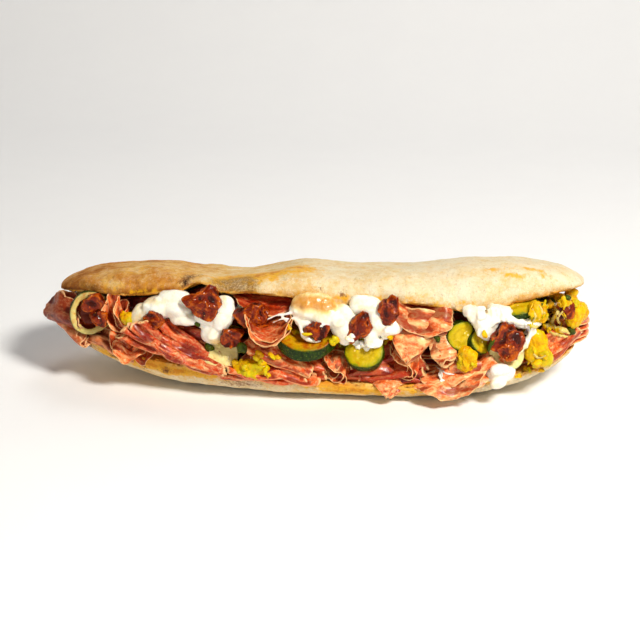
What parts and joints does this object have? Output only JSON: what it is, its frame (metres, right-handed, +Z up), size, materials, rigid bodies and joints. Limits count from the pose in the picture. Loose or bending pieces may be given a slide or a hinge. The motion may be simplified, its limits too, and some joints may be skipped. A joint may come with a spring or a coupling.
{
  "type": "panini",
  "caption": "Long filled panini on a hearth-baked flat loaf cut in two, with salami, ham, courgette, dried tomato and soft cheese cream showing all round.",
  "frame": {"origin": "on the flat patch of the lower crust, under the middle of the loaf's length and depth", "axes": "+X along the loaf, to the right as seen from the open side; +Y to the back, where the halves come closest; +Z up"},
  "size_m": [0.3241, 0.1223, 0.0763],
  "materials": {
    "crust": "baked flour-dusted bread crust, matt",
    "salami": "cured sliced pork with fat flecks, slightly oily",
    "ham": "cooked ham, moist",
    "dried_tomato": "wrinkled dried tomato in oil, glossy",
    "courgette": "grilled courgette, dark green skin and pale yellow-green flesh",
    "yellow_courgette": "soft yellow vegetable pieces, moist",
    "cream": "soft stretched-curd cheese cream, wet"
  },
  "bodies": {
    "root": {"bread_base": "crust", "bread_lid": "crust", "salami_layer": "salami", "courgette_layer": "courgette", "cream_layer": "cream", "courgette_round_1": "courgette", "courgette_round_2": "courgette", "courgette_round_3": "courgette", "courgette_round_4": "courgette", "courgette_round_5": "courgette", "courgette_round_6": "courgette", "courgette_round_7": "courgette", "courgette_round_8": "courgette", "cream_run_1": "cream", "cream_run_2": "cream", "cream_run_3": "cream", "cream_run_4": "cream", "cream_run_5": "cream", "cream_run_6": "cream", "dried_tomato_1": "dried_tomato", "dried_tomato_2": "dried_tomato", "dried_tomato_3": "dried_tomato", "dried_tomato_4": "dried_tomato", "dried_tomato_5": "dried_tomato", "dried_tomato_6": "dried_tomato", "dried_tomato_7": "dried_tomato", "dried_tomato_8": "dried_tomato", "dried_tomato_9": "dried_tomato", "dried_tomato_10": "dried_tomato", "dried_tomato_11": "dried_tomato", "dried_tomato_12": "dried_tomato", "ham_slice_1": "ham", "ham_slice_2": "ham", "ham_slice_3": "ham", "salami_slice_1": "salami", "salami_slice_2": "salami", "salami_slice_3": "salami", "salami_slice_4": "salami", "salami_slice_5": "salami", "salami_slice_6": "salami", "salami_slice_7": "salami", "salami_slice_8": "salami", "salami_slice_9": "salami", "salami_slice_10": "salami", "salami_slice_11": "salami", "salami_slice_12": "salami", "salami_slice_13": "salami", "salami_slice_14": "salami", "salami_slice_15": "salami", "salami_slice_16": "salami", "salami_slice_17": "salami", "salami_slice_18": "salami", "salami_slice_19": "salami", "salami_slice_20": "salami", "yellow_courgette_1": "yellow_courgette", "yellow_courgette_2": "yellow_courgette", "yellow_courgette_3": "yellow_courgette", "yellow_courgette_4": "yellow_courgette", "yellow_courgette_5": "yellow_courgette", "yellow_courgette_6": "yellow_courgette"}
  },
  "joints": []
}
